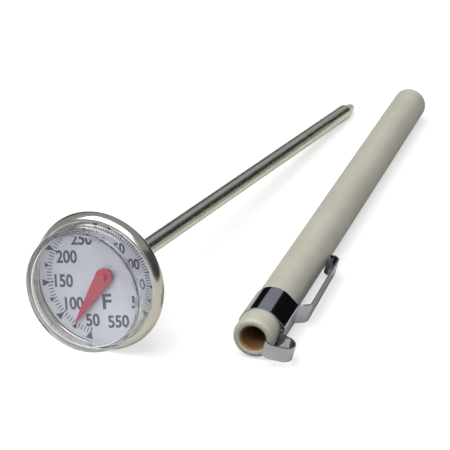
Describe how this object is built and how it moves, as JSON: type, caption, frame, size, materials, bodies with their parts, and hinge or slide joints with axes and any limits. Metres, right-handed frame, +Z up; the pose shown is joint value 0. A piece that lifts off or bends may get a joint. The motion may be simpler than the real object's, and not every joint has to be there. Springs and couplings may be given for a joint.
{
  "type": "dial thermometer",
  "caption": "Pocket dial thermometer: domed clear lens and steel bezel on a thin pointed stem, with a closed plastic sheath that has a spring pocket clip and a stem loop.",
  "frame": {"origin": "on the table, under the middle of the footprint of the thermometer and its sheath as they lie side by side", "axes": "+Z up from the table; +Y from the dial towards the stem tip, seen from above; +X towards the sheath"},
  "size_m": [0.0536, 0.149, 0.0289],
  "materials": {
    "stainless": "satin drawn stainless steel",
    "polished_steel": "polished stainless steel",
    "clip_plating": "bright nickel plating",
    "clear_lens": "clear moulded acrylic",
    "dial_face": "satin silver-grey",
    "pointer_red": "semi-gloss",
    "sheath_plastic": "smooth satin beige",
    "gasket_rubber": "matt, pale silicone",
    "spacer_plastic": "matt white",
    "brass": "turned",
    "coil_strip": "rolled bimetal strip",
    "spring_steel": "blued spring steel"
  },
  "bodies": {
    "stem": {"stem_tube": "stainless", "stem_tip": "stainless", "stem_bush": "stainless", "calibration_nut": "stainless", "lower_guide": "brass", "upper_guide": "brass", "coil_anchor": "brass", "bimetal_coil": "coil_strip"},
    "head": {"case_cup": "stainless", "friction_washer": "spring_steel", "bezel_ring": "polished_steel", "lens_gasket": "gasket_rubber", "lens": "clear_lens", "dial_spacer": "spacer_plastic", "dial_plate": "dial_face"},
    "pointer": {"spindle": "stainless", "coil_hub": "brass", "pointer_boss": "brass", "pointer": "pointer_red"},
    "sheath": {"sheath_tube": "sheath_plastic", "clip_band": "clip_plating", "clip_strip": "clip_plating"},
    "clip_arm": {"clip_arm": "clip_plating"}
  },
  "joints": [
    {"name": "head_turn", "type": "hinge", "parent": "stem", "child": "head", "pos_m": [-0.01234, -0.0604, 0.01402], "axis": [0, 0.9954, -0.0956], "continuous": true},
    {"name": "pointer_turn", "type": "hinge", "parent": "stem", "child": "pointer", "pos_m": [-0.01234, -0.06478, 0.01444], "axis": [0, 0.9954, -0.0956], "range_deg": [-16, 304], "stiffness_Nm_per_rad": 0.0005},
    {"name": "sheath_draw", "type": "slide", "parent": "stem", "child": "sheath", "axis": [-0.1179, 0.993, -0.0047], "range_m": [0, 0.127]},
    {"name": "clip_flex", "type": "hinge", "parent": "sheath", "child": "clip_arm", "pos_m": [0.02058, -0.04239, 0.0036], "axis": [-0.2313, -0.0321, -0.9724], "range_deg": [0, 6], "stiffness_Nm_per_rad": 0.5}
  ]
}
